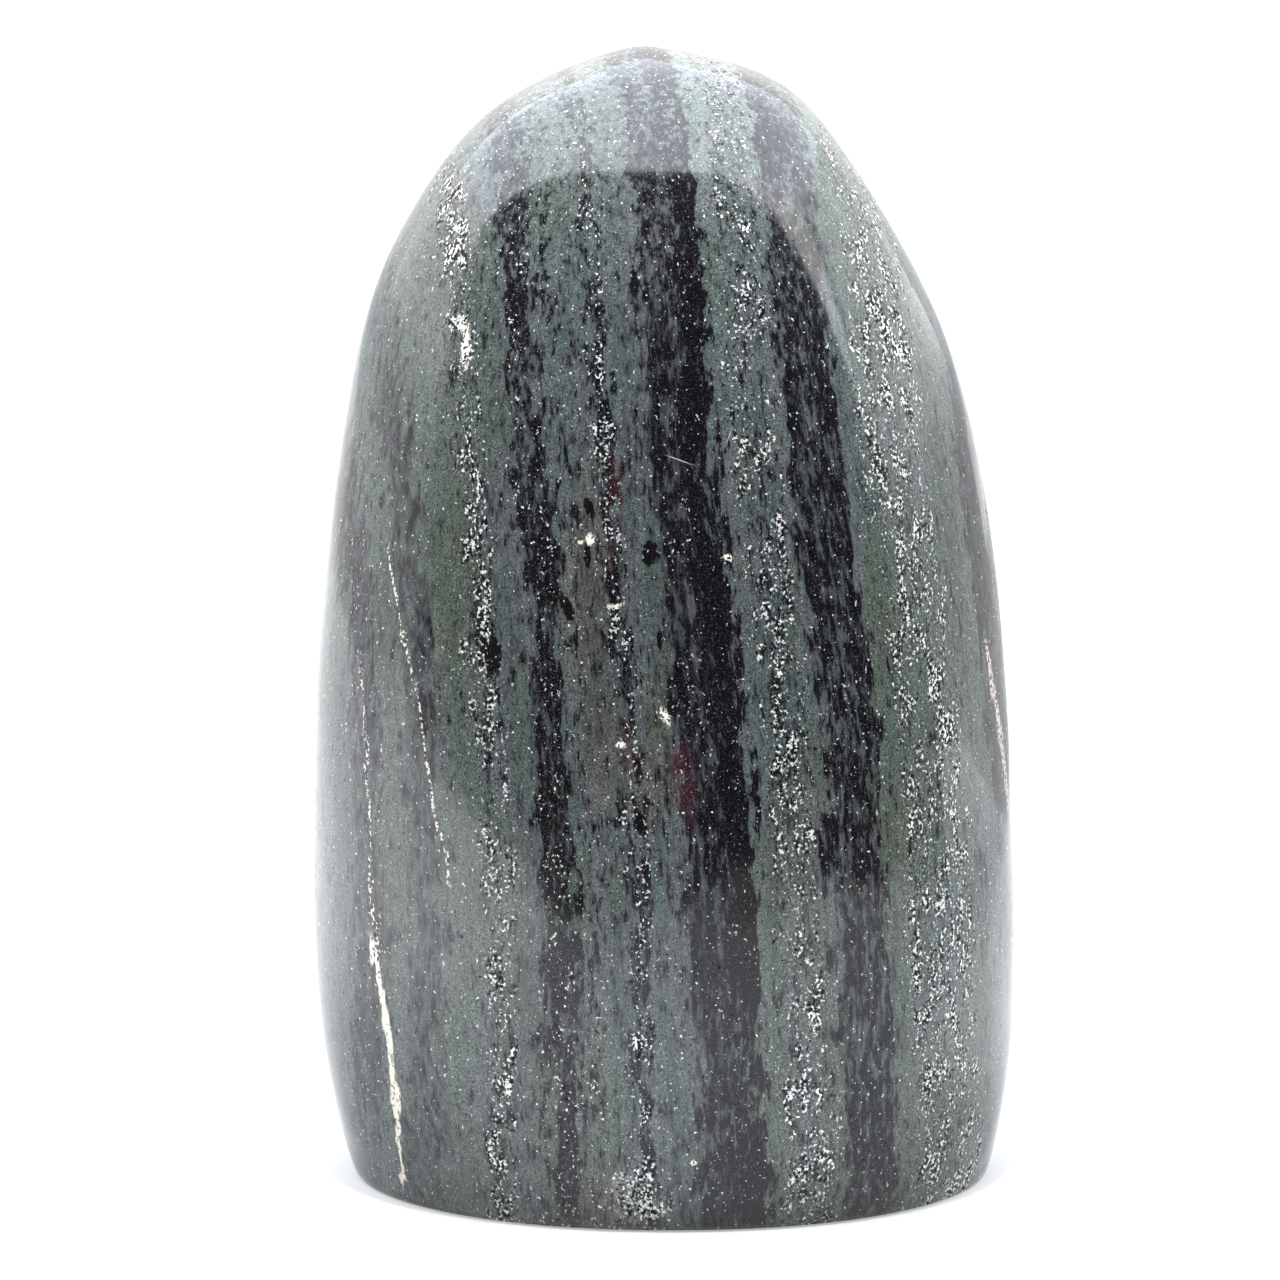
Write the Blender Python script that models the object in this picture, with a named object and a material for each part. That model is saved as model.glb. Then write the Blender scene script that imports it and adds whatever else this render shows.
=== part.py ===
"""A polished free-form jasper stone that stands on a sawn flat foot.

One solid, as the stone is one piece. It starts as a full, egg-like pebble, which the lapidary grinds
broad soft flats into, saws level at the foot, and breaks the sharp foot edge of.

Units are metres, +Z is up, the front faces -Y, and the origin is the middle of the foot.
"""

import math

import bmesh
import bpy
from mathutils import Vector

# Driving dimensions of the pebble
HEIGHT = 0.1208
HALF_WIDTH = 0.0378
FRONT_DEPTH = 0.0270
BACK_DEPTH = 0.0270
WAIST = 0.0332          # the widest level, above the foot
SAWN_OFF = 0.0275       # what the saw took from below the foot
FULLNESS = 2.47         # of the upright profile: 2 is an ellipse, and more is squarer
LEAN_LEFT = 0.0240      # sideways lean of the crown, as a share of height
LEAN_BACK = 0.0200      # backward lean of the crown, as a share of height

# Soft flats: the compass bearing each one faces (0 is the front, 90 the right), how far it tilts
# up, both in degrees, and the depth ground away
FLATS = (
    (0, 3, 0.0016),
    (-62, 8, 0.0007),
    (64, 8, 0.0007),
    (-90, 8, 0.0001),
    (88, 33, 0.0015),
    (-88, 33, 0.0014),
    (-80, 65, 0.0018),
    (75, 78, 0.0006),
    (0, 50, 0.0008),
    (180, 9, 0.0022),
    (128, 24, 0.0016),
    (-140, 30, 0.0014),
)
FLAT_SOFTNESS = 0.0016  # how widely a flat blends into its neighbours

# The small nub that the flats leave at the tip
NUB_SIDE = -0.0024
NUB_BACK = 0.0010
NUB_RADIUS = 0.0034
NUB_HEIGHT = 0.0008

# The foot
EDGE_BREAK = 0.0007     # how far back the sharp edge is broken
FOOT_BORDER = 0.0030    # ring of even faces inside the foot's edge

# Mesh density
COLUMNS_PER_SIDE = 24
ROWS = 34


def clear_scene():
    for thing in list(bpy.data.objects):
        bpy.data.objects.remove(thing)


def full_norm(across, up):
    """How far out a point of the profile lies, by the pebble's rule, which squares a circle off."""
    return (across**FULLNESS + abs(up) ** FULLNESS) ** (1 / FULLNESS)


def foot_level():
    """Where the open box ends, so that its rim lands exactly on the saw's level."""
    cut = WAIST / (WAIST + SAWN_OFF)
    return -cut / (1 - cut**FULLNESS) ** (1 / FULLNESS)


def open_box(bm):
    """A box with no bottom, from -1 to 1 sideways, of even quads. Returns its rim's edges."""
    bmesh.ops.create_grid(bm, x_segments=COLUMNS_PER_SIDE, y_segments=COLUMNS_PER_SIDE, size=1)
    bmesh.ops.translate(bm, verts=bm.verts, vec=(0, 0, 1))
    rim = [edge for edge in bm.edges if edge.is_boundary]
    step = Vector((0, 0, (foot_level() - 1) / ROWS))
    for _ in range(ROWS):
        walls = bmesh.ops.extrude_edge_only(bm, edges=rim)["geom"]
        bmesh.ops.translate(bm, verts=[v for v in walls if isinstance(v, bmesh.types.BMVert)], vec=step)
        rim = [edge for edge in walls if isinstance(edge, bmesh.types.BMEdge) and edge.is_boundary]
    return rim


def onto_pebble(corner):
    """Takes a point of the open box to the pebble: the box turns round towards its rim, then swells."""
    x, y, z = corner
    roundness = (1 - z) / (1 - foot_level())
    reach = math.hypot(x, y) or 1
    turned = 1 + roundness * (max(abs(x), abs(y)) / reach - 1)
    x, y = x * turned, y * turned
    size = full_norm(math.hypot(x, y), z)
    x, y, z = x / size, y / size, z / size
    depth = FRONT_DEPTH if y < 0 else BACK_DEPTH
    rise = HEIGHT - WAIST if z > 0 else WAIST + SAWN_OFF
    level = WAIST + z * rise
    return Vector((x * HALF_WIDTH - level * LEAN_LEFT, y * depth + level * LEAN_BACK, level))


def facing(bearing, tilt):
    """The outward direction of a flat."""
    across, up = math.radians(bearing), math.radians(tilt)
    return Vector((math.sin(across) * math.cos(up), -math.cos(across) * math.cos(up), math.sin(up)))


def grind(verts, outward, depth):
    """Pushes what stands past a plane back to it. The plane lies depth inside the furthest point."""
    plane = max(v.co.dot(outward) for v in verts) - depth
    for v in verts:
        past = (v.co.dot(outward) - plane) / FLAT_SOFTNESS
        v.co -= outward * FLAT_SOFTNESS * math.log1p(math.exp(past))


def raise_nub(verts):
    for v in verts:
        aside = math.hypot(v.co.x - NUB_SIDE, v.co.y - NUB_BACK) / NUB_RADIUS
        if v.co.z > HEIGHT * 0.7:
            v.co.z += NUB_HEIGHT * math.exp(-(aside**2))


def saw_foot(bm, rim):
    """Levels the rim at the foot, closes it and breaks its edge."""
    for v in {v for edge in rim for v in edge.verts}:
        v.co.z = 0
    foot = bmesh.ops.contextual_create(bm, geom=rim)["faces"]
    bmesh.ops.recalc_face_normals(bm, faces=bm.faces)
    bmesh.ops.bevel(bm, geom=rim, offset=EDGE_BREAK, segments=2, profile=0.5, affect="EDGES")
    foot = [face for face in bm.faces if len(face.verts) > len(foot) * COLUMNS_PER_SIDE]
    bmesh.ops.inset_region(bm, faces=foot, thickness=FOOT_BORDER)


def centre_on_foot(bm):
    """Puts the origin under the middle of the stone's width and depth."""
    for axis in (0, 1):
        places = [v.co[axis] for v in bm.verts]
        middle = (min(places) + max(places)) / 2
        for v in bm.verts:
            v.co[axis] -= middle


def jasper_finish():
    finish = bpy.data.materials.new("polished_green_jasper")
    finish.use_nodes = True
    surface = finish.node_tree.nodes["Principled BSDF"]
    surface.inputs["Base Color"].default_value = (0.105, 0.135, 0.120, 1)
    surface.inputs["Roughness"].default_value = 0.22
    surface.inputs["Metallic"].default_value = 0
    return finish


def jasper_stone():
    bm = bmesh.new()
    rim = open_box(bm)
    for v in bm.verts:
        v.co = onto_pebble(v.co)
    for bearing, tilt, depth in FLATS:
        grind(bm.verts, facing(bearing, tilt), depth)
    saw_foot(bm, rim)
    centre_on_foot(bm)
    raise_nub(bm.verts)
    mesh = bpy.data.meshes.new("jasper_stone")
    bm.to_mesh(mesh)
    bm.free()
    mesh.shade_smooth()
    mesh.set_sharp_from_angle(angle=math.radians(40))
    mesh.materials.append(jasper_finish())
    stone = bpy.data.objects.new("jasper_stone", mesh)
    bpy.context.scene.collection.objects.link(stone)
    return stone


clear_scene()
jasper_stone()
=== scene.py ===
# %% [markdown]
# # A polished jasper stone
#
# The real thing is one piece of banded green jasper, about 12 cm tall. It was ground to a soft,
# egg-topped slab, polished, and sawn level at its foot. So this scene has one piece only, the
# stone's skin. All that is hard about it is in the surface: how the polish lies, and what the
# layers of mineral inside look like where the polish cuts through them.
#
# The imported model is loaded first. It is the fixed frame.

# %% Load the frame
import math

import bmesh
import bpy
from mathutils import Matrix, Vector


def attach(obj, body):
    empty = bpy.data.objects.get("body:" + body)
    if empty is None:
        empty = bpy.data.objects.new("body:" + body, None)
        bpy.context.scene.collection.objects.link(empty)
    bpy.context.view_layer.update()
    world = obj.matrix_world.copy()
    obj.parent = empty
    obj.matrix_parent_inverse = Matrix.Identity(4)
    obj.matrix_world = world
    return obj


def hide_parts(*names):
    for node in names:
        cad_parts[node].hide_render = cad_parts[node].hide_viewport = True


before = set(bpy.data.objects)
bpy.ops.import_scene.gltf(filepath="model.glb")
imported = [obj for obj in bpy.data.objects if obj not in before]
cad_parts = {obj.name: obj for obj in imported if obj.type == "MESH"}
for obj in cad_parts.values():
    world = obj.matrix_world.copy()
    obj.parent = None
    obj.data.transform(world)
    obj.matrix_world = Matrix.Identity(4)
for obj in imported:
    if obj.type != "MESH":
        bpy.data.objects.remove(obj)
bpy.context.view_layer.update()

# %% [markdown]
# ## The camera
#
# A product shot of something this small is made with a long lens from about half a metre, a
# little above the object. The height is read off the foot: the lower its front edge sags below
# its corners in the picture, the higher the camera stands. Lens and distance go together, so the
# lens is worked out from how much of the world has to fill the square frame at the stone.

# %% Place the camera
CAMERA_PLACE = Vector((-0.0026, -0.453, 0.132))
CAMERA_AIM = Vector((-0.0026, 0, 0.0574))
SEEN_HEIGHT = 0.1358      # what the frame takes in at the stone
SENSOR = 36.0

camera_data = bpy.data.cameras.new("camera")
camera = bpy.data.objects.new("camera", camera_data)
bpy.context.scene.collection.objects.link(camera)
sight = CAMERA_AIM - CAMERA_PLACE
camera.location = CAMERA_PLACE
camera.rotation_euler = sight.to_track_quat("-Z", "Y").to_euler()
camera_data.sensor_width = SENSOR
camera_data.lens = SENSOR * sight.length / SEEN_HEIGHT
camera_data.clip_start = 0.01
bpy.context.scene.camera = camera
print("lens", round(camera_data.lens, 1), "mm from", round(sight.length, 3), "m")

# %% [markdown]
# ## How the node trees are written
#
# A procedural material is arithmetic: where am I in the stone, which layer is that, is there a
# grain here. Written as nodes by hand, such sums are hard to read. So a small class wraps one
# socket, and adding or multiplying two of them adds the Math node that does it. Everything else
# is made by one method, which takes a kind of node, its settings and its inputs. The same
# class writes the studio's cards, the stone's relief and its colours.

# %% Sums that become nodes
# How far Blender's noise usually strays from its mean of 0.5, for 0 to 5 octaves of detail
NOISE_SPREAD = (0.123, 0.091, 0.079, 0.070, 0.066, 0.063)


class Flow:
    """One value that flows through a node tree."""

    tree = None

    def __init__(self, socket):
        self.socket = socket

    @classmethod
    def node(cls, kind, settings, inputs, output=0):
        made = cls.tree.nodes.new(kind)
        for name, value in settings.items():
            if name == "curves":
                cls.set_curves(made.mapping, value)
            else:
                setattr(made, name, value)
        for key, value in inputs.items():
            socket = cls.find(made.inputs, key)
            if isinstance(value, Flow):
                cls.tree.links.new(value.socket, socket)
            else:
                socket.default_value = value
        return cls(cls.find(made.outputs, output))

    @staticmethod
    def find(sockets, key):
        if isinstance(key, int):
            return sockets[key]
        return next(s for s in sockets if key in (s.identifier, s.name) and s.enabled)

    @staticmethod
    def set_curves(mapping, curves):
        for curve, points in zip(mapping.curves, curves):
            while len(curve.points) < len(points):
                curve.points.new(1, 1)
            for point, (place, value) in zip(curve.points, points):
                point.location = place, value
        mapping.update()

    def sum(self, operation, *others):
        inputs = dict(enumerate((self, *others)))
        return self.node("ShaderNodeMath", {"operation": operation}, inputs)

    def __add__(self, other):
        return self.sum("ADD", other)

    def __radd__(self, other):
        return self.sum("ADD", other)

    def __sub__(self, other):
        return self.sum("SUBTRACT", other)

    def __rsub__(self, other):
        return self.node("ShaderNodeMath", {"operation": "SUBTRACT"}, {0: other, 1: self})

    def __mul__(self, other):
        return self.sum("MULTIPLY", other)

    def __rmul__(self, other):
        return self.sum("MULTIPLY", other)

    def __truediv__(self, other):
        return self.sum("DIVIDE", other)

    def __abs__(self):
        return self.sum("ABSOLUTE")

    def or_else(self, other):
        """The larger of two values, so where they are masks, the one or the other."""
        return self.sum("MAXIMUM", other)

    def part(self, axis):
        return self.node("ShaderNodeSeparateXYZ", {}, {0: self}, axis)

    def stretched(self, x, y, z):
        return self.node("ShaderNodeVectorMath", {"operation": "MULTIPLY"}, {0: self, 1: (x, y, z)})

    def moved(self, other):
        return self.node("ShaderNodeVectorMath", {"operation": "ADD"}, {0: self, 1: other})

    def step(self, low, high):
        """0 below low, 1 above high, and a smooth rise between them."""
        return self.node("ShaderNodeMapRange", {"interpolation_type": "SMOOTHSTEP"},
                         {"Value": self, "From Min": low, "From Max": high})

    def lumps(self, size, detail=2, roughness=0.55, seed=0.0):
        """Soft random lumps about as wide as size. 0 is the mean, and 1 is their usual spread."""
        noise = self.node("ShaderNodeTexNoise", {}, {"Vector": self.moved((seed, -seed, seed / 2)),
                                                     "Scale": 1 / size, "Detail": detail,
                                                     "Roughness": roughness})
        return noise.sum("MULTIPLY_ADD", 1 / NOISE_SPREAD[detail], -0.5 / NOISE_SPREAD[detail])


def vector(x, y, z):
    return Flow.node("ShaderNodeCombineXYZ", {}, {0: x, 1: y, 2: z})


def mixed(mask, under, over):
    """Colour under, with colour over laid on it where the mask is 1."""
    under, over = ((*c, 1) if isinstance(c, tuple) else c for c in (under, over))
    return Flow.node("ShaderNodeMix", {"data_type": "RGBA"},
                     {"Factor_Float": mask, "A_Color": under, "B_Color": over}, "Result_Color")


def new_finish(name):
    finish = bpy.data.materials.new(name)
    finish.use_nodes = True
    Flow.tree = finish.node_tree
    return finish

# %% [markdown]
# ## The studio
#
# A polished stone shows its studio more than its shape: each part of the surface mirrors a part of
# the room. The picture shows these things in the polish, so the studio has them and no more. A
# bright ceiling hangs overhead, brightest in its middle, and makes the pale crown and shoulders.
# Its front edge is straight, and so is the edge of the brightness. Behind the stone a bright back
# leans up to it. The front of the studio is open and dark, which gives the deep colours of the
# face. The white table ends about 26 cm in front of the stone, and the lower face mirrors it. Pale
# walls stand left and right, for the rims, and reach up to the ceiling.
#
# The walls, the back and the dark front are cards. The camera doesn't see them, and they throw no
# shadow on the table. The left end of the dark card fades, because the left edge of the dark in the
# stone is soft and the right one sharp. High up the right edge slants, so the card's corner is cut
# off there, and a bright card fills it. Two unseen cloths lie on the table as well. Right of the
# middle the white of the table ends in a curve, for which a dark cloth has a round cutout. A paler
# cloth tones down the far table at the right.

# %% White surroundings
SURROUNDINGS = (0.96, 1.0, 1.05)
SURROUNDINGS_GLOW = 1.05
MATT = 0.9                # the roughness of the table and the cards
scene = bpy.context.scene
scene.view_settings.view_transform = "Standard"
world = bpy.data.worlds.new("white_surroundings")
world.use_nodes = True
world.node_tree.nodes["Background"].inputs["Color"].default_value = (*SURROUNDINGS, 1)
world.node_tree.nodes["Background"].inputs["Strength"].default_value = SURROUNDINGS_GLOW
scene.world = world
print("surroundings", SURROUNDINGS, "at", SURROUNDINGS_GLOW)


def flat_card(name, corners, finish, seen=True):
    """A flat sheet through its corners, for the table and the studio's cards. An unseen card shows
    in the polish, but hides from the camera and throws no shadow on the table."""
    mesh = bpy.data.meshes.new(name)
    mesh.from_pydata(corners, [], [range(len(corners))])
    mesh.materials.append(finish)
    card = bpy.data.objects.new(name, mesh)
    card.visible_camera = card.visible_shadow = seen
    scene.collection.objects.link(card)


def glowing_finish(name, grey, glow):
    """A matt sheet that also glows: glow takes a place on the sheet and gives its brightness."""
    finish = new_finish(name)
    matt = finish.node_tree.nodes["Principled BSDF"]
    matt.inputs["Base Color"].default_value = (grey, grey, grey, 1)
    matt.inputs["Roughness"].default_value = MATT
    matt.inputs["Emission Strength"].default_value = 1.0
    brightness = glow(Flow.node("ShaderNodeTexCoord", {}, {}, "Object"))
    finish.node_tree.links.new(brightness.socket, matt.inputs["Emission Color"])
    finish.cycles.emission_sampling = "NONE"
    return finish


# %% White table
TABLE_REACH = 6.0
TABLE_GREY = 0.21
# The glows are painted light on the table: a pool to the stone's left, one right beside the foot
NEAR_GLOW, LEFT_GLOW, RIGHT_GLOW, FAR_GLOW = 0.42, 1.90, 0.25, 1.30
BESIDE_GLOW = 1.0         # more, right beside the foot
# Painted light: COVERED_GLOW makes up for the shade that the dark cloth casts on the table under it
COVERED_GLOW = 0.6        # more, where the dark cloth hides the table from the polish
CUTOUT_REACH = 0.250      # the radius of that cloth's round cutout, about the stone

# Each glow sets in over a stretch, in metres: none of it at the first place, all at the second
FAR_BEYOND = (0.18, 0.48)
LEFT_BEYOND, RIGHT_BEYOND = (0.02, 0.15), (0.03, 0.25)
BESIDE_BEYOND, BESIDE_WITHIN, BESIDE_BEHIND = (0.045, 0.08), (0.13, 0.22), (-0.06, 0)
COVERED_BEYOND = (CUTOUT_REACH, CUTOUT_REACH + 0.01)
COVERED_BEFORE, COVERED_RIGHT = (0, 0.02), (-0.06, -0.03)


def table_glow(spot):
    """Painted light: the table glows brighter to the stone's left than before it, as the picture's rims
    show.
    """
    aside, back = spot.part("X"), spot.part("Y")
    reach = Flow.node("ShaderNodeVectorMath", {"operation": "LENGTH"}, {0: spot}, "Value")
    away = reach.step(*FAR_BEYOND)
    left = (0 - aside).step(*LEFT_BEYOND) * (LEFT_GLOW - NEAR_GLOW)
    right = aside.step(*RIGHT_BEYOND) * (RIGHT_GLOW - NEAR_GLOW)
    beside = aside.step(*BESIDE_BEYOND) * (1 - aside.step(*BESIDE_WITHIN)) * back.step(*BESIDE_BEHIND)
    covered = reach.step(*COVERED_BEYOND) * (0 - back).step(*COVERED_BEFORE)
    covered = covered * aside.step(*COVERED_RIGHT)
    near = left + right + beside * BESIDE_GLOW + NEAR_GLOW
    return near * (1 - away) + away * FAR_GLOW + covered * COVERED_GLOW


flat_card("table", [(-TABLE_REACH, -TABLE_REACH, 0), (TABLE_REACH, -TABLE_REACH, 0),
                    (TABLE_REACH, TABLE_REACH, 0), (-TABLE_REACH, TABLE_REACH, 0)],
          glowing_finish("white_table", TABLE_GREY, table_glow))
print("table", TABLE_REACH * 2, "m square")

# %% Where the studio's cards stand
TABLE_END = -0.262        # where the dark begins on the table, and the card's foot
CUTOUT_TURN = (-12, 88)   # from there to there on the compass: 0 is the front, 90 the right
CUTOUT_STEP = 4           # degrees between the corners of the cutout
CLOTH_LEVEL = 0.002
SHADED_LEFT, SHADED_FRONT = 0.15, 0.18   # where the paler cloth begins
FRONT_Y = -0.31           # where the dark front meets the ceiling
BACK_Y = 0.8
CEILING = 0.64
DARK_RIGHT, DARK_LEFT = 0.62, -1.1
FADE_FROM, FADE_TO = -0.40, -1.0
CORNER_FOOT, CORNER_TOP = 0.16, 0.20   # above this level the dark's right edge leans in to this X
LEFT_WALL, RIGHT_WALL = -0.75, DARK_RIGHT
BACK_FOOT = 0.14
CEILING_END = 0.51        # where the ceiling stops, and the bright back leans up to it
print("studio", RIGHT_WALL - LEFT_WALL, "m wide and", CEILING, "m high")

# %% How the cards glow
CARD_GREY, DARK_GREY = 0.02, 0.004
SHADED_GLOW = 0.80
DEEP_FOOT, DEEP_TOP = 0.65, 1.8   # how much the right wall gains and loses towards the back


def even(glow):
    """The same glow all over a card."""
    return lambda spot: spot.part("X") * 0 + glow


def climbing(foot_glow, *climbs):
    """A glow that grows with the level, in soft climbs of from, to and how much more."""
    def glow(spot):
        level, brightness = spot.part("Z"), foot_glow
        for low, high, more in climbs:
            brightness = brightness + level.step(low, high) * more
        return brightness
    return glow


def fading(spot):
    """No glow, but towards the left end more and more."""
    return (FADE_FROM - spot.part("X")).step(0, FADE_FROM - FADE_TO)


def right_wall_glow(spot):
    """It grows with the level too, but towards the back its foot is brighter and its top darker."""
    back, level = spot.part("Y"), spot.part("Z")
    deep_foot = back.step(-0.10, 0.12) * DEEP_FOOT
    deep_top = level.step(0.26, 0.45) * back.step(0, 0.25) * DEEP_TOP
    return climbing(0.10, (0.07, 0.25, 2.2), (0.26, 0.45, 1.0))(spot) + deep_foot - deep_top


# %% Dark front, pale sides and cloths
def front_at(level):
    """How far forward the dark front stands at a level."""
    return TABLE_END + (FRONT_Y - TABLE_END) * level / CEILING


def wall(side):
    return [(side, TABLE_END, 0), (side, BACK_Y, 0),
            (side, BACK_Y, CEILING), (side, TABLE_END, CEILING)]


def cloth(*corners):
    return [(x, y, CLOTH_LEVEL) for x, y in corners]


turns = [math.radians(turn) for turn in range(CUTOUT_TURN[0], CUTOUT_TURN[1] + 1, CUTOUT_STEP)]
cutout = [(CUTOUT_REACH * math.sin(turn), -CUTOUT_REACH * math.cos(turn)) for turn in turns]
slant_foot = (DARK_RIGHT, front_at(CORNER_FOOT), CORNER_FOOT)
slant_top = (CORNER_TOP, FRONT_Y, CEILING)
STUDIO_CARDS = {
    # name: corners, grey, glow
    "bright_corner": ([slant_foot, (DARK_RIGHT, FRONT_Y, CEILING), slant_top],
                      CARD_GREY, climbing(1.2, (0.12, 0.36, 3.8))),
    "dark_front": ([(DARK_LEFT, TABLE_END, 0), (DARK_RIGHT, TABLE_END, 0), slant_foot, slant_top,
                    (DARK_LEFT, FRONT_Y, CEILING)], DARK_GREY, fading),
    "dark_cloth": (cloth(*cutout, (DARK_RIGHT, cutout[-1][1]), (DARK_RIGHT, TABLE_END),
                         (cutout[0][0], TABLE_END)), DARK_GREY, even(0)),
    "shaded_cloth": (cloth((SHADED_LEFT, SHADED_FRONT), (RIGHT_WALL, SHADED_FRONT),
                           (RIGHT_WALL, BACK_Y), (SHADED_LEFT, BACK_Y)), CARD_GREY, even(SHADED_GLOW)),
    "bright_back": ([(LEFT_WALL, BACK_Y, BACK_FOOT), (RIGHT_WALL, BACK_Y, BACK_FOOT),
                     (RIGHT_WALL, CEILING_END, CEILING), (LEFT_WALL, CEILING_END, CEILING)],
                    CARD_GREY, climbing(1.0, (BACK_FOOT, CEILING, 1.8))),
    "left_wall": (wall(LEFT_WALL), CARD_GREY, climbing(1.1, (0.16, 0.30, 1.2), (0.42, 0.56, 2.1))),
    "right_wall": (wall(RIGHT_WALL), CARD_GREY, right_wall_glow),
}
for name, (corners, grey, glow) in STUDIO_CARDS.items():
    flat_card(name, corners, glowing_finish(name, grey, glow), seen=False)
print(len(STUDIO_CARDS), "cards that only the polish sees")

# %% Bright ceiling
CEILING_PANELS = (
    # width, depth, brightness
    ("whole_ceiling", 3.0, CEILING_END - FRONT_Y, 4.3),
    ("ceiling_middle", 1.9, 0.46, 4.3),
)
COOL_WHITE = (0.90, 0.955, 1.06)
for name, width, deep, glow in CEILING_PANELS:
    panel_data = bpy.data.lights.new(name, "AREA")
    panel_data.shape = "RECTANGLE"
    panel_data.size = width
    panel_data.size_y = deep
    panel_data.color = COOL_WHITE
    panel_data.energy = glow * math.pi * width * deep
    panel = bpy.data.objects.new(name, panel_data)
    panel.location = (0, FRONT_Y + deep / 2, CEILING)
    scene.collection.objects.link(panel)
    panel.visible_camera = False
    print(name, round(panel_data.energy, 1), "W at", CEILING, "m")

# %% [markdown]
# Two small lamps shape the soft light alone: they are left out of the mirror images in the polish.
# One shines down on the crown through a narrow tube, and one stands for the glow that the table
# sends up into the foot of the face.

# %% Two lamps that the polish doesn't mirror
TUBE_POWER, TUBE_WIDTH = 92, math.radians(7.5)
TUBE_PLACE, TUBE_AIM = Vector((0, -0.10, 0.61)), Vector((-0.001, -0.002, 0.108))
TUBE_SOFTNESS = 0.04
FOOT_GLOW, FOOT_WIDTH, FOOT_DEEP = 3.9, 0.15, 0.04
FOOT_LAMP_BACK, FOOT_LAMP_LEVEL = -0.032, 0.001   # its back edge, and how high over the table
tube_data = bpy.data.lights.new("tube_lamp", "SPOT")
tube_data.energy, tube_data.spot_size, tube_data.spot_blend = TUBE_POWER, TUBE_WIDTH, 1.0
tube_data.shadow_soft_size = TUBE_SOFTNESS
tube = bpy.data.objects.new("tube_lamp", tube_data)
tube.location = TUBE_PLACE
tube.rotation_euler = (TUBE_AIM - TUBE_PLACE).to_track_quat("-Z", "Y").to_euler()
foot_data = bpy.data.lights.new("foot_lamp", "AREA")
foot_data.shape = "RECTANGLE"
foot_data.size, foot_data.size_y = FOOT_WIDTH, FOOT_DEEP
foot_data.energy = FOOT_GLOW * math.pi * FOOT_WIDTH * FOOT_DEEP
foot_lamp = bpy.data.objects.new("foot_lamp", foot_data)
foot_lamp.location = (0, FOOT_LAMP_BACK - FOOT_DEEP / 2, FOOT_LAMP_LEVEL)
foot_lamp.rotation_euler = (math.pi, 0, 0)
for lamp in (tube, foot_lamp):
    lamp.data.color = COOL_WHITE
    lamp.visible_camera = lamp.visible_glossy = False
    scene.collection.objects.link(lamp)
print("lamps", round(tube_data.energy, 1), "W and", round(foot_data.energy, 3), "W")

# %% [markdown]
# ## The stone's body
#
# The solid from the frame already has the right shape, but it is a net of about eight thousand
# triangles, and a mirror polish shows every one of them. So a copy is refined. The copy's
# triangles come loose, like confetti, so doubled corners are merged first. Pairs of triangles are
# joined back to quads, because subdivision makes smooth surfaces out of quads and lumps
# out of triangles. The sharp edge round the foot is creased, so that it survives.

# %% Copy the solid and clean it
CREASE_ANGLE = math.radians(28)
QUAD_FOLD, QUAD_SKEW = math.radians(20), math.radians(70)   # how bent and skewed a joined quad may be
DOUBLED = 1e-6            # corners closer than this are one corner


def clean_copy(node, name):
    mesh = node.data.copy()
    bm = bmesh.new()
    bm.from_mesh(mesh)
    bmesh.ops.remove_doubles(bm, verts=bm.verts, dist=DOUBLED)
    bmesh.ops.join_triangles(bm, faces=bm.faces, angle_face_threshold=QUAD_FOLD,
                             angle_shape_threshold=QUAD_SKEW)
    crease = bm.edges.layers.float.new("crease_edge")
    for edge in bm.edges:
        if edge.calc_face_angle(0) > CREASE_ANGLE:
            edge[crease] = 1.0
    quads = sum(len(face.verts) == 4 for face in bm.faces)
    print(name, "has", len(bm.faces), "faces,", quads, "of them quads")
    mesh.materials.clear()
    bm.to_mesh(mesh)
    bm.free()
    mesh.name = name
    piece = bpy.data.objects.new(name, mesh)
    scene.collection.objects.link(piece)
    return piece


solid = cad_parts["jasper_stone"]
stone = clean_copy(solid, "stone_skin")
subdivide = stone.modifiers.new("refine", "SUBSURF")
subdivide.levels = subdivide.render_levels = 2

# %% [markdown]
# ## Small ellipsoids
#
# A stone is known by its accidents: a black lens, a crumb of cream quartz, a scratch, a stain. Each
# is small, so a small ellipsoid in space does for it, in a row of a table: its middle, its half size
# and its lean, in millimetres and degrees. The stone's skin cuts the ellipsoid where it passes
# through it, and noise frays its outline.

# %% Ellipsoids from a table
LEANS = (0, 20, -20)      # degrees, to the right where positive


def leaning_places(place):
    """The place in the stone, read on axes that lean to the right or to the left."""
    turned = {0: place}
    for lean in LEANS[1:]:
        turned[lean] = Flow.node("ShaderNodeVectorRotate", {"rotation_type": "Y_AXIS", "invert": True},
                                 {"Vector": place, "Angle": math.radians(lean)})
    return turned


def how_far(places, table):
    """Distance to the middle of the nearest ellipsoid, which is 1 on the ellipsoid itself."""
    nearest = None
    for title, middle, half_size, lean in table:
        shrink = [1 / half for half in half_size]
        middle = Matrix.Rotation(math.radians(-lean), 3, "Y") @ Vector(middle)
        shift = [-at * by for at, by in zip(middle, shrink)]
        off = Flow.node("ShaderNodeVectorMath", {"operation": "MULTIPLY_ADD"},
                        {0: places[lean], 1: shrink, 2: shift})
        far = Flow.node("ShaderNodeVectorMath", {"operation": "LENGTH"}, {0: off}, "Value")
        nearest = far if nearest is None else nearest.sum("MINIMUM", far)
    return nearest


def any_of(places, table, fray, softness):
    """1 inside any ellipsoid of a table and 0 outside. The rims are frayed by noise, and soft."""
    return 1 - (how_far(places, table) + fray).step(1 - softness, 1 + softness)


# %% [markdown]
# ## Relief and soft stains
#
# A stone polished by hand is never quite even, and a few bites are missing along its foot. A
# Geometry Nodes tree pushes the points of the skin in and out for that, sideways only, so that the
# foot stays flat. The same tree writes the soft stains on the points as named attributes. They
# change over millimetres, so the points are close enough together for them, and the material
# doesn't have to work them out again at every ray.

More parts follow.
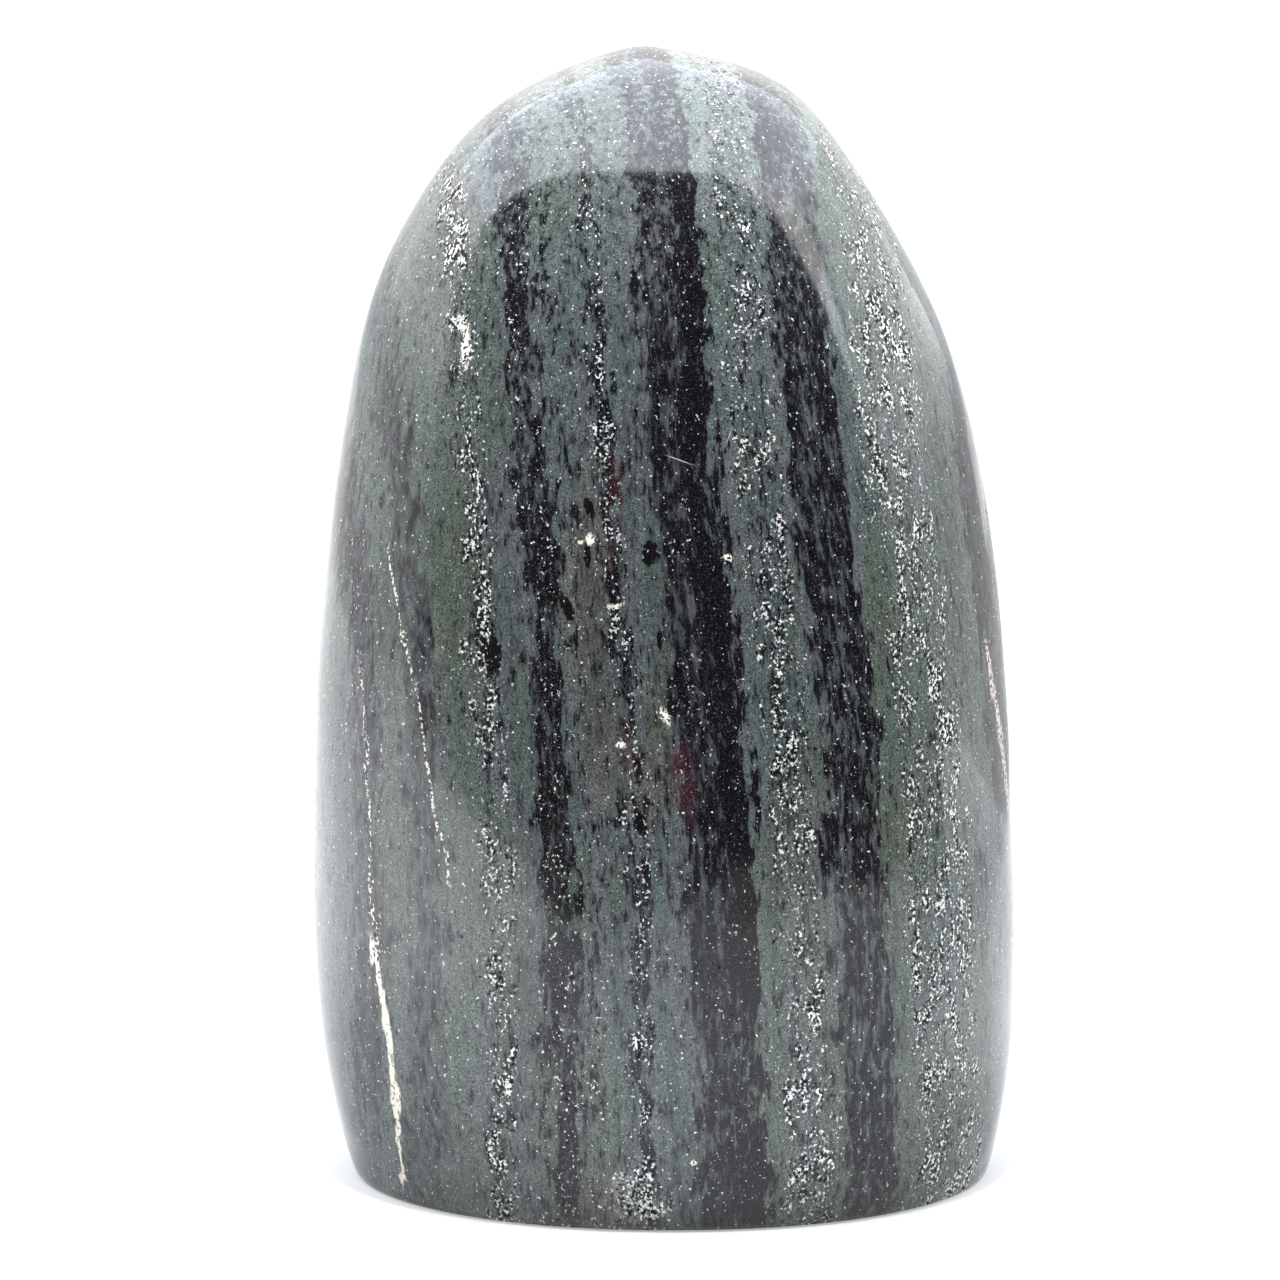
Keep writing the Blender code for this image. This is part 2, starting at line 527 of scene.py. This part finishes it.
# %% What the tree has to know
TO_MILLIMETRES = (1000, 1000, 1000)
UNDULATION = 0.000026     # how far the hand polish strays, in metres
CHIP_DEPTH = 0.00032
WAVE_WIDTH, BITE_WIDTH, RIM_WIDTH = 18, 1.5, 2.0   # of the noises behind them, in millimetres
CHIPPED = (
    ("strip along the foot", (-13.5, -24.5, 0.4), (10.5, 7, 1.1), 0),
    ("nick at the right", (30.5, -13.5, 0.8), (2.2, 3, 1.1), 0),
)
BRUISES = (("bruise", (-3.0, -26.0, 3.5), (2.6, 3, 2.4), 0),)
RED_STAINS = (
    ("tip stain", (-1.0, -2.4, 119.6), (1.3, 2.2, 2.6), 0),
    ("red of the streak", (-5.2, -23.5, 74.5), (1.0, 6, 5.5), 0),
    ("red of its foot", (-3.9, -24.6, 50.5), (0.8, 6, 2.4), 0),
    ("red in the broad layer", (1.9, -25.0, 47.0), (1.3, 6, 4.0), 0),
)
TAUPE_CLOUDS = (
    ("upper taupe", (-7.6, -23.8, 66.5), (2.3, 9, 10.5), 0),
    ("lower taupe", (-6.4, -24.8, 50.5), (2.2, 9, 6.5), 0),
    ("taupe by the broad layer", (-1.2, -25.2, 45.8), (2.1, 8, 3.6), 0),
    ("foot taupe", (-6.5, -25.0, 3.0), (4.5, 6, 3.2), 0),
)
OLIVE_CLOUDS = (
    ("olive by the streaked layer", (21.5, -21.0, 62.0), (1.7, 7, 8.0), 0),
    ("lower olive", (23.6, -21.0, 42.0), (2.2, 7, 4.5), 0),
    ("olive at the left", (-21.5, -20.0, 66.0), (2.6, 8, 12.0), 0),
    ("olive in the green stripe", (-0.6, -24.6, 54.0), (1.0, 7, 6.5), 0),
)
print(len(RED_STAINS) + len(TAUPE_CLOUDS) + len(OLIVE_CLOUDS), "soft stains")

# %% The tree
jasper = new_finish("polished_jasper")
tree = bpy.data.node_groups.new("worked_skin", "GeometryNodeTree")
Flow.tree = tree
GIVEN = {"Geometry": ("NodeSocketGeometry", None), "Undulation": ("NodeSocketFloat", UNDULATION),
         "Chip Depth": ("NodeSocketFloat", CHIP_DEPTH), "Finish": ("NodeSocketMaterial", jasper)}
for name, (kind, value) in GIVEN.items():
    tree.interface.new_socket(name, in_out="INPUT", socket_type=kind)
tree.interface.new_socket("Geometry", in_out="OUTPUT", socket_type="NodeSocketGeometry")
givens = tree.nodes.new("NodeGroupInput").outputs
given = {socket.name: Flow(socket) for socket in givens if socket.name}

spot = Flow.node("GeometryNodeInputPosition", {}, {}).stretched(*TO_MILLIMETRES)
spots = leaning_places(spot)
waves = spot.lumps(WAVE_WIDTH, detail=1, seed=8)
bites = spot.lumps(BITE_WIDTH, detail=2, seed=5)
soft_rim = spot.stretched(1, 1, 0.3).lumps(RIM_WIDTH, detail=2, seed=33) * 0.14
bruised = any_of(spots, BRUISES, bites * 0.20, 0.4)
chipped = (any_of(spots, CHIPPED, bites * 0.16, 0.3) * 0.4).or_else(bruised)
push = waves * given["Undulation"] - chipped * bites.step(-0.4, 1.4) * given["Chip Depth"]
sideways = Flow.node("GeometryNodeInputNormal", {}, {}).stretched(1, 1, 0)
offset = Flow.node("ShaderNodeVectorMath", {"operation": "SCALE"}, {0: sideways, "Scale": push})
skin = Flow.node("GeometryNodeSetPosition", {}, {"Geometry": given["Geometry"], "Offset": offset})
stored = {"chipped": chipped, "red": any_of(spots, RED_STAINS, soft_rim, 0.45),
          "taupe": any_of(spots, TAUPE_CLOUDS, soft_rim, 0.5),
          "olive": any_of(spots, OLIVE_CLOUDS, soft_rim, 0.5)}
for name, amount in stored.items():
    skin = Flow.node("GeometryNodeStoreNamedAttribute", {"data_type": "FLOAT", "domain": "POINT"},
                     {"Geometry": skin, "Name": name, "Value": amount})
skin = Flow.node("GeometryNodeRealizeInstances", {}, {"Geometry": skin})
skin = Flow.node("GeometryNodeSetMaterial", {}, {"Geometry": skin, "Material": given["Finish"]})
tree.links.new(skin.socket, tree.nodes.new("NodeGroupOutput").inputs[0])
print(len(tree.nodes), "nodes in the skin's tree")

# %% Work the skin
worked = stone.modifiers.new("worked", "NODES")
worked.node_group = tree
for item in tree.interface.items_tree:
    if item.in_out == "INPUT" and GIVEN[item.name][1] is not None:
        worked[item.identifier] = GIVEN[item.name][1]
refined = bpy.data.meshes.new_from_object(stone.evaluated_get(bpy.context.evaluated_depsgraph_get()))
stone.modifiers.clear()
stone.data = refined
stone.data.shade_smooth()
print("skin has", len(refined.polygons), "faces, and", ", ".join(stored), "on its points")

# %% [markdown]
# ## Where am I in the stone?
#
# Jasper like this was once mud and volcanic ash, laid down in sheets. The sheets run right
# through the stone, so a pattern drawn on the surface would look like wallpaper at the rims. A
# solid pattern does not: it gives every point inside the stone a colour, and the polish
# shows whichever points it reaches. The whole material hangs on one number, the depth across
# the sheets in millimetres. Sheets are never flat, so the number bends, fans and shivers a little.

# %% Depth across the sheets
Flow.tree = jasper.node_tree
place = Flow.node("ShaderNodeTexCoord", {}, {}, "Object").stretched(*TO_MILLIMETRES)
x, y, z = place.part("X"), place.part("Y"), place.part("Z")

MIDDLE = 60               # the height that tilt and fan leave as it is
TILT = 0.048              # sideways drift for each millimetre of height
FAN = 0.0013              # how fast the sheets spread towards the foot
TURN = 0.20               # how far the sheets are turned away from square to the face

# How far the sheets waver, and over what width, in millimetres
SLOW_SHIVER, SLOW_WIDTH = 0.20, 9
FAST_SHIVER, FAST_WIDTH = 0.42, 1.3

# The sheets' slow bend: height as a share of BEND_HEIGHT, and sideways shift, where 0.5 is none
BEND = ((0, 0.46), (0.13, 0.5), (0.25, 0.59), (0.38, 0.61), (0.49, 0.55), (0.58, 0.42),
        (0.67, 0.34), (0.76, 0.41), (0.84, 0.5), (0.92, 0.6), (1, 0.65))
BEND_HEIGHT, BEND_WIDTH = 125, 4.0

height = z - MIDDLE
bend = Flow.node("ShaderNodeFloatCurve", {"curves": [BEND]}, {"Value": z / BEND_HEIGHT})
bend = bend * BEND_WIDTH - BEND_WIDTH / 2
slow_shiver = place.stretched(1, 1, 0.35).lumps(SLOW_WIDTH, detail=1, seed=310)
fast_shiver = place.stretched(1, 1, 0.3).lumps(FAST_WIDTH, detail=3, seed=77)
depth = x + height * TILT + x * height * FAN + y * TURN - bend + slow_shiver * SLOW_SHIVER
ragged = depth + fast_shiver * FAST_SHIVER
print("the depth takes", len(jasper.node_tree.nodes), "nodes")

# %% [markdown]
# ## The layers
#
# Each layer is a row in a table: its middle, half its width, and how much it holds of three
# things. Stain is the soft grey of fine iron dust. Black is the solid streaks and blobs of iron
# ore. Grains are pale sand, with the dark pits between them. The edge of a layer isn't
# ruled: where it fades, it breaks up into streaks. So a row gives shares from 0 to 1, and
# noise decides point by point what a share turns into.
#
# So many layers as nodes would be slow. The table is worked out in Python instead, and handed to
# one RGB Curves node, whose red, green and blue curves hold the three shares by depth. Slow noise
# then makes each layer a little richer here and poorer there.

# %% The table of layers
LAYERS = (
    # middle, half width, stain, black, grains
    ("far left layer", -40.5, 2.2, 0.60, 0.45, 0.10),
    ("left rim layer", -34.2, 1.2, 0.75, 0.25, 0.20),
    ("blue streaks", -29.4, 1.5, 0.60, 0.18, 0.08),
    ("left grained layer", -22.9, 1.3, 0.35, 0.34, 1.00),
    ("shaded ground", -20.2, 1.6, 0.30, 0.06, 0.06),
    ("left dark layer", -16.9, 1.7, 0.80, 0.64, 0.38),
    ("thin streak", -13.8, 0.4, 0.60, 0.60, 0.40),
    ("red streak", -9.4, 1.0, 0.80, 0.62, 0.85),
    ("brown ground", -11.8, 1.3, 0.34, 0.16, 0.14),
    ("stray streaks", -6.4, 1.2, 0.36, 0.10, 0.12),
    ("broad dark layer, broken side", -2.9, 2.0, 0.95, 0.60, 0.20),
    ("broad dark layer, solid side", 0.4, 1.8, 1.00, 0.96, 0.12),
    ("middle grained layer", 6.4, 2.2, 0.34, 0.27, 0.86),
    ("streaked dark layer", 12.7, 3.1, 0.80, 0.60, 0.16),
    ("bright grained layer", 22.0, 3.9, 0.16, 0.14, 0.96),
    ("lone streak", 27.6, 0.5, 0.40, 0.26, 0.12),
    ("right rim layer", 32.4, 1.7, 0.85, 0.20, 0.06),
    ("back grained layer", 36.6, 1.4, 0.30, 0.20, 0.80),
    ("back dark layer", 40.8, 2.2, 0.85, 0.60, 0.20),
)
GROUND_HOLDS = (0.04, 0.035, 0.05)   # what lies between the layers holds of the three
LAYER_EDGE = 0.75         # how far a layer's edge fades, inwards and outwards
SHALLOWEST, DEEPEST = -50.0, 50.0
SAMPLES = 201
RICHER = 0.14             # how much richer a layer usually gets in its rich patches


def share_at(column, across):
    """How much of a thing the layers hold at one depth: the most that any layer there holds."""
    most = GROUND_HOLDS[column]
    for title, middle, half_width, *holds in LAYERS:
        fade = (half_width + LAYER_EDGE - abs(across - middle)) / (2 * LAYER_EDGE)
        fade = min(max(fade, 0), 1)
        most = max(most, holds[column] * fade * fade * (3 - 2 * fade))
    return most


shares = []
for column in range(3):
    places = [sample / (SAMPLES - 1) for sample in range(SAMPLES)]
    shares.append([(at, share_at(column, SHALLOWEST + at * (DEEPEST - SHALLOWEST))) for at in places])
across = (ragged - SHALLOWEST) / (DEEPEST - SHALLOWEST)
held = Flow.node("ShaderNodeRGBCurve", {"curves": shares}, {"Color": across})
patches = vector(depth * 0.30, y * 0.05, z * 0.065).lumps(1.0, detail=1, seed=12)
richness = 1 + patches * RICHER
stain_share, black_share, grain_share = (held.part(axis) * richness for axis in "XYZ")
print(len(LAYERS), "layers")

# %% [markdown]
# ## From a share to streaks
#
# A share of 0.3 has to cover three tenths of the area with black. Noise has few very high and
# very low values and many middling ones, so its heights are taken in spreads, as a statistician
# would: about a third lie above half a spread, and one in twenty above 1.6. A share is
# turned into a level in the same measure, and what rises above it is black. The noise is drawn
# out three times upwards, because the streaks are, and ten times for the finest fibres. Under the
# foot there are no fibres to see, but the lines of the saw, so the fibres are turned into these.
# Where noises are added up, the squares of their weights add up to one, and so the sum still has
# a spread of one.

# %% Streaks, fibres and stain
SPREADS_PER_SHARE = 3.3
STREAK_WIDTH, STREAK_SQUASH = 0.66, 0.30   # millimetres, and how the height is squashed to draw
FIBRE_WIDTH, FIBRE_SQUASH = 0.34, 0.10     # the noise out upwards
MOTTLE_WIDTH, GRAIN_SQUASH = 0.17, 0.85
SAWN_BELOW = (0.03, 0.25)
BLACK_EDGE, STAIN_EDGE = 0.42, 0.90        # how softly they end, in spreads


def covers(share, height, softness):
    """1 where the noise of this height belongs to the share, and 0 elsewhere."""
    return (height + (share - 0.5) * SPREADS_PER_SHARE).step(-softness, softness)


sawn = 1 - z.step(*SAWN_BELOW)
saw_lines = vector(x * 0.05, y * 1.5, 0)
streaks = vector(depth, y, z * STREAK_SQUASH).lumps(STREAK_WIDTH, detail=3, roughness=0.70, seed=13)
along = Flow.node("ShaderNodeMix", {"data_type": "VECTOR"},
                  {"Factor_Float": sawn, "A_Vector": vector(depth, y, z * FIBRE_SQUASH),
                   "B_Vector": saw_lines}, "Result_Vector")
fibres = along.lumps(FIBRE_WIDTH, detail=2, seed=44)
mottle = place.stretched(1, 1, GRAIN_SQUASH).lumps(MOTTLE_WIDTH, detail=1, roughness=0.7, seed=20)
black = covers(black_share * 1.12 - 0.1, streaks * 0.80 + fibres * 0.30 + mottle * 0.52, BLACK_EDGE)
stain = covers(stain_share, streaks * 0.60 + fibres * 0.50 + mottle * 0.60, STAIN_EDGE)
print("streaks", STREAK_WIDTH, "mm wide and fibres", FIBRE_WIDTH, "mm")

# %% [markdown]
# ## Grains
#
# Up close the pale layers are salt and pepper: specks of white a fifth of a millimetre wide, and
# black pits beside them. Both come from one fine noise. Its highest tips are the white specks, its
# deepest hollows the black ones, and the denser the grains, the lower the tips are cut. That is
# cheaper than two patterns, and it keeps white and black from landing on each other. The grains
# crowd in clusters, get sparser in the crown, and lie thick where the foot is bruised.

# %% White specks and black pits
GRAIN_WIDTH, CLUSTER_WIDTH = 0.32, 1.5
CROWN = (98, 113)         # the heights between which the grains get sparser
SPARSER = 0.40
BRUISE_CROWD = 1.2


def painted(name):
    """What the skin's tree wrote on the points under this name."""
    return Flow.node("ShaderNodeAttribute", {"attribute_name": name}, {}, "Fac")


chips = painted("chipped")
grit = place.stretched(1, 1, GRAIN_SQUASH).lumps(GRAIN_WIDTH, detail=1, roughness=0.6, seed=60)
clusters = vector(x, y, z * 0.5).lumps(CLUSTER_WIDTH, detail=1, seed=50)
crowd = grain_share * (clusters * 0.36 + 0.80) * (1 - z.step(*CROWN) * SPARSER) + chips * BRUISE_CROWD
white = covers(crowd * 0.42 - 0.29, grit, 0.45)
pits = covers(crowd * 0.46 - 0.30, 0 - grit, 0.25)
dust = mottle.step(0.9, 2.4)
print("grains", GRAIN_WIDTH, "mm apart in clusters of", CLUSTER_WIDTH, "mm")

# %% [markdown]
# ## What is there only once
#
# The crisp accidents are too small for the points of the skin, so the material has them itself, by
# the same kind of table.

# %% Lenses, crumbs, scratches and a ring
BLACK_LENSES = (
    # middle, half size, lean
    ("large lens", (-17.5, -23.0, 59.7), (0.85, 4, 2.4), 0),
    ("diamond lens", (-1.6, -23.8, 70.1), (0.66, 4, 1.15), 0),
    ("lens in the foot's half", (-2.6, -25.3, 42.9), (0.55, 4, 1.2), -20),
    ("lens near the crown", (-3.2, -20.1, 96.7), (0.50, 4, 1.5), 0),
    ("upper dash", (-7.7, -23.6, 74.7), (0.38, 4, 0.95), -20),
    ("lower dash", (-7.9, -23.8, 69.7), (0.34, 4, 1.2), 0),
    ("slanting dash", (-10.0, -23.6, 64.7), (0.50, 4, 1.25), -20),
    ("dash in the green stripe", (-0.6, -24.4, 61.5), (0.30, 4, 1.1), 0),
)
CREAM_CRUMBS = (
    ("upper crumb", (-7.5, -23.5, 71.5), (0.44, 3, 0.46), 20),
    ("its neighbour", (-8.6, -23.5, 71.2), (0.28, 3, 0.20), 0),
    ("middle crumb", (-5.2, -24.1, 64.7), (0.66, 3, 0.32), 0),
    ("lower crumb", (-4.6, -24.9, 50.8), (0.46, 3, 0.28), 0),
    ("white crumb", (6.1, -23.6, 69.6), (0.46, 3, 0.30), 0),
    ("lower white crumb", (-0.1, -24.8, 53.8), (0.32, 3, 0.72), -20),
    ("foot crumb", (3.1, -26.0, 7.6), (0.34, 3, 0.30), 0),
    ("cream blotch", (-20.6, -17.6, 92.3), (0.44, 4, 1.0), 0),
    ("its tail", (-20.3, -17.8, 90.2), (0.36, 4, 1.1), 0),
)
HAIRLINES = (
    ("long scratch", (1.4, -23.0, 79.4), (1.35, 2, 0.055), 20),
    ("short scratch", (6.3, -22.4, 81.7), (0.05, 2, 0.70), 20),
    ("left scratch", (-22.6, -19.0, 50.0), (1.1, 2, 0.045), -20),
    ("low scratch", (12.5, -23.6, 31.0), (0.04, 2, 1.5), -20),
)
RING_MARK = (("ring at the right", (33.9, -11.4, 11.6), (1.2, 3.5, 2.1), 0),)

places = leaning_places(place)
ragged_rim = fast_shiver * 0.14 + grit * 0.09 + mottle * 0.05
lenses = any_of(places, BLACK_LENSES, ragged_rim, 0.16)
crumbs = any_of(places, CREAM_CRUMBS, ragged_rim * 2.4, 0.25) * covers(0.78, grit, 0.5)
hairlines = any_of(places, HAIRLINES, fast_shiver * 0.05, 0.5)
ring = 1 - abs(how_far(places, RING_MARK) - 1 + ragged_rim * 0.6).step(0.06, 0.26)
red, taupe, olive = painted("red"), painted("taupe"), painted("olive")
print(len(BLACK_LENSES), "lenses,", len(CREAM_CRUMBS), "crumbs and", len(HAIRLINES), "scratches")

# %% [markdown]
# ## Veins
#
# A vein is a crack that quartz filled. It crosses the layers at a small slant, so its depth is a
# straight line in the height. It is drawn where the stone's depth is close to that line, from
# one height to another, and the grit breaks it up as in the stone.

# %% Veins
VEINS = (
    # depth at its top, drift for each millimetre down, top and foot heights, half width, wholeness
    ("thread at the left", -31.2, 0.106, 70.8, 35.0, 0.13, 0.42),
    ("faint thread at the rim", -34.5, 0.020, 58.0, 26.0, 0.15, 0.30),
    ("cream vein", -34.5, 0.140, 30.0, 1.0, 0.20, 0.92),
    ("thread at the right", 31.6, 0.060, 60.0, 39.0, 0.28, 0.58),
)
veins = None
for title, top_depth, drift_down, top, foot, half_width, wholeness in VEINS:
    line = (top - z) * drift_down + top_depth
    beside = abs(depth + fast_shiver * 0.10 - line)
    run = (top - z).step(0, 2) * (z - foot).step(0, 2)
    here = (1 - beside.step(half_width * 0.5, half_width * 1.4)) * run * covers(wholeness, grit, 0.6)
    veins = here if veins is None else veins.or_else(here)
print(len(VEINS), "veins")

# %% [markdown]
# ## Colours
#
# The colours lie on each other in the order in which they hide each other: ground, clouds and
# stain first, then black streaks, red and lenses, and last the pits and the pale things. Each is
# mixed in by its own mask. Fine mottling, fibres and clouds make every stone colour lighter and
# darker by up to a third, as polished rock always is.

# %% The stone's own colours
GREEN = (0.060, 0.073, 0.060)
TEAL = (0.056, 0.070, 0.063)
OLIVE = (0.054, 0.064, 0.045)
GREY = (0.059, 0.063, 0.060)
TAUPE = (0.066, 0.062, 0.056)
STAIN = (0.020, 0.019, 0.022)
RED = (0.034, 0.010, 0.015)
NIGHT = (0.0030, 0.0024, 0.0032)
PALE = (0.68, 0.68, 0.64)
CREAM = (0.66, 0.61, 0.50)
CRUSHED = (0.26, 0.25, 0.225)
PINKISH = (0.48, 0.40, 0.37)
BROWN = (0.085, 0.066, 0.046)
print("darkest", NIGHT, "and palest", PALE)

# %% Colours on each other
CLOUD_WIDTH, DRIFT_WIDTH = 2.2, 14   # of the grey clouds and of the drift from green to teal
FOOT_LINE = (0.35, 0.80)  # the olive line along the foot ends between these heights


def brighter(colour, factor):
    return Flow.node("ShaderNodeVectorMath", {"operation": "SCALE"}, {0: colour, "Scale": factor})


clouds = vector(depth, y * 0.5, z * 0.09).lumps(CLOUD_WIDTH, detail=2, seed=90)
drift = place.stretched(1, 1, 0.3).lumps(DRIFT_WIDTH, detail=1, seed=80)
ground = mixed(drift.step(-1.2, 1.2), GREEN, TEAL)
ground = mixed(clouds.step(-0.6, 1.6) * 0.8, ground, GREY)
ground = mixed(olive * 0.75, ground, OLIVE)
ground = mixed(taupe * 0.85, ground, TAUPE)
ground = mixed(grain_share * clusters.step(0.2, 1.8) * 0.35, ground, BROWN)
colour = mixed(stain * 0.9, ground, STAIN)
colour = mixed(black, colour, NIGHT)
colour = mixed(red * streaks.step(-1.1, 1.1) * 0.7, colour, RED)
colour = mixed(lenses, colour, NIGHT)
colour = brighter(colour, (1 + mottle * 0.32) * (1 + fibres * 0.10) * (1 + clouds * 0.07))
colour = mixed(ring * 0.6, colour, BROWN)
foot_line = z.step(*SAWN_BELOW) - z.step(*FOOT_LINE)
colour = mixed(foot_line * 0.6, colour, OLIVE)
colour = mixed(chips * 0.30, colour, CRUSHED)
colour = mixed(dust * (grain_share * 0.11 + 0.02), colour, PALE)
colour = mixed(pits * 0.85, colour, NIGHT)
colour = mixed(white * (mottle * 0.22 + 0.66) * (1 - black_share * 0.30), colour, PALE)
vein_colour = mixed(x.step(-5, 5), CREAM, PINKISH)
colour = mixed(veins * 0.76, colour, vein_colour)
colour = mixed(crumbs * (mottle * 0.10 + 0.90), colour, CREAM)
colour = mixed(hairlines * 0.35, colour, PALE)
print("the colours take", len(jasper.node_tree.nodes), "nodes in all")

# %% [markdown]
# ## Polish
#
# The polish is the same all over, but grains, crumbs and scratches are a little duller, and the
# bruise and the sawn foot are dull. Hollows that the polish never reached don't mirror at all, so
# they turn to a dull dark shader.

# %% Dress the skin
POLISH = 0.09
QUARTZ_IOR, DUST_IOR = 1.54, 1.15
shader = jasper.node_tree.nodes["Principled BSDF"]
shader.inputs["IOR"].default_value = QUARTZ_IOR
jasper.node_tree.links.new(colour.socket, shader.inputs["Base Color"])
rough = POLISH + white * 0.15 + pits * 0.18 + crumbs * 0.2 + hairlines * 0.2 + chips * 0.35
rough = rough + sawn * (fibres * 0.04 + 0.24)
jasper.node_tree.links.new(rough.socket, shader.inputs["Roughness"])

hollow = jasper.node_tree.nodes.new("ShaderNodeBsdfPrincipled")
hollow.inputs["Base Color"].default_value = (*NIGHT, 1)
hollow.inputs["Roughness"].default_value = 0.8
hollow.inputs["IOR"].default_value = DUST_IOR
hollows = pits.or_else(lenses * 0.6) * (1 - crumbs) * 0.75
finished = Flow.node("ShaderNodeMixShader", {}, {0: hollows, 1: Flow(shader.outputs[0]),
                                                 2: Flow(hollow.outputs[0])})
jasper.node_tree.links.new(finished.socket, jasper.node_tree.nodes["Material Output"].inputs["Surface"])
print(len(jasper.node_tree.nodes), "nodes in the finished material")

# %% Finish
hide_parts("jasper_stone")
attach(stone, "root")
